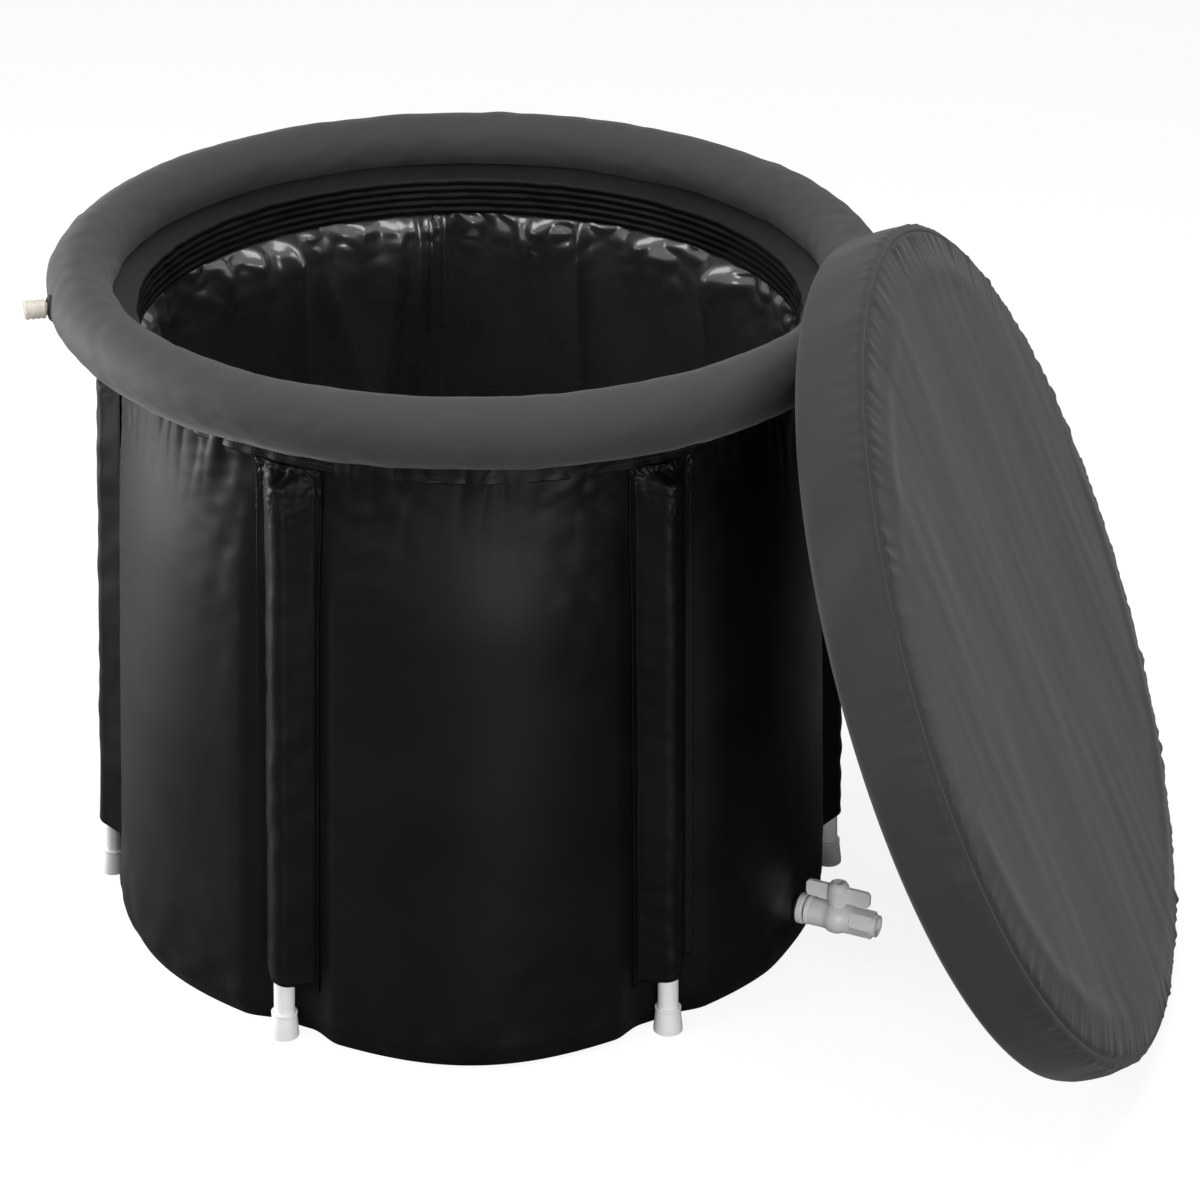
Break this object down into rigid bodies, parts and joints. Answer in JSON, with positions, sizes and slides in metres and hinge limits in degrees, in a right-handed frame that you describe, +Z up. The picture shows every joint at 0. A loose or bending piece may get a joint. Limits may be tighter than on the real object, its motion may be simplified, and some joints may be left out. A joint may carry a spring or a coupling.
{
  "type": "cold plunge tub",
  "caption": "Round soft-walled cold plunge tub with an inflated collar, legs in sewn pockets, a drain ball valve with a wing handle and a thick padded lid leaning on the collar.",
  "frame": {"origin": "on the floor at the tub's axis, in the middle of the base's underside", "axes": "+Z up along the tub's axis, -Y to the front between two legs, +X to the side where the lid leans"},
  "size_m": [1.2305, 1.1469, 0.8354],
  "materials": {
    "coated_cloth": "satin",
    "collar_cloth": "matte",
    "liner": "gloss",
    "foam": "matte",
    "white_pvc": "satin",
    "clear_pvc": "gloss",
    "black_rubber": "matte"
  },
  "bodies": {
    "tub": {"outer_wall": "coated_cloth", "wall_insulation": "foam", "inner_liner": "liner", "base_panel": "coated_cloth", "base_insulation": "foam", "liner_floor": "liner", "inflatable_collar": "collar_cloth", "collar_hem": "coated_cloth", "inner_top_band": "liner", "air_valve_neck": "clear_pvc", "air_valve_flap": "black_rubber", "air_valve_patch": "black_rubber", "leg_tube_1": "white_pvc", "leg_tube_2": "white_pvc", "leg_tube_3": "white_pvc", "leg_tube_4": "white_pvc", "leg_tube_5": "white_pvc", "leg_tube_6": "white_pvc", "leg_top_cap_1": "white_pvc", "leg_top_cap_2": "white_pvc", "leg_top_cap_3": "white_pvc", "leg_top_cap_4": "white_pvc", "leg_top_cap_5": "white_pvc", "leg_top_cap_6": "white_pvc", "leg_foot_1": "white_pvc", "leg_foot_2": "white_pvc", "leg_foot_3": "white_pvc", "leg_foot_4": "white_pvc", "leg_foot_5": "white_pvc", "leg_foot_6": "white_pvc", "leg_pocket_1": "coated_cloth", "leg_pocket_2": "coated_cloth", "leg_pocket_3": "coated_cloth", "leg_pocket_4": "coated_cloth", "leg_pocket_5": "coated_cloth", "leg_pocket_6": "coated_cloth", "drain_bulkhead": "white_pvc", "drain_outer_gasket": "black_rubber", "drain_inner_gasket": "black_rubber", "drain_nut": "white_pvc", "drain_o_ring": "black_rubber", "valve_body": "white_pvc", "valve_seat_inner": "white_pvc", "valve_seat_outer": "white_pvc", "valve_end_piece": "white_pvc"},
    "drain_handle": {"valve_handle": "white_pvc", "valve_stem": "white_pvc", "stem_o_ring": "black_rubber", "valve_ball": "white_pvc"},
    "air_cap": {"air_valve_cap": "clear_pvc"},
    "lid": {"lid_core": "foam", "lid_top_panel": "collar_cloth", "lid_side_band": "collar_cloth", "lid_underside": "collar_cloth"}
  },
  "joints": [
    {"name": "drain_handle_turn", "type": "hinge", "parent": "tub", "child": "drain_handle", "pos_m": [0.4026, -0.18774, 0.0711], "axis": [0, 0, 1], "range_deg": [0, 90]},
    {"name": "air_cap_turn", "type": "hinge", "parent": "tub", "child": "air_cap", "pos_m": [-0.44323, -0.11051, 0.715], "axis": [-0.9703, -0.2419, 0], "range_deg": [0, 360]},
    {"name": "lid_tip", "type": "hinge", "parent": "tub", "child": "lid", "pos_m": [0.7377, -0.31028, 0.01999], "axis": [0.2267, 0.974, 0], "range_deg": [0, 113.1]}
  ]
}
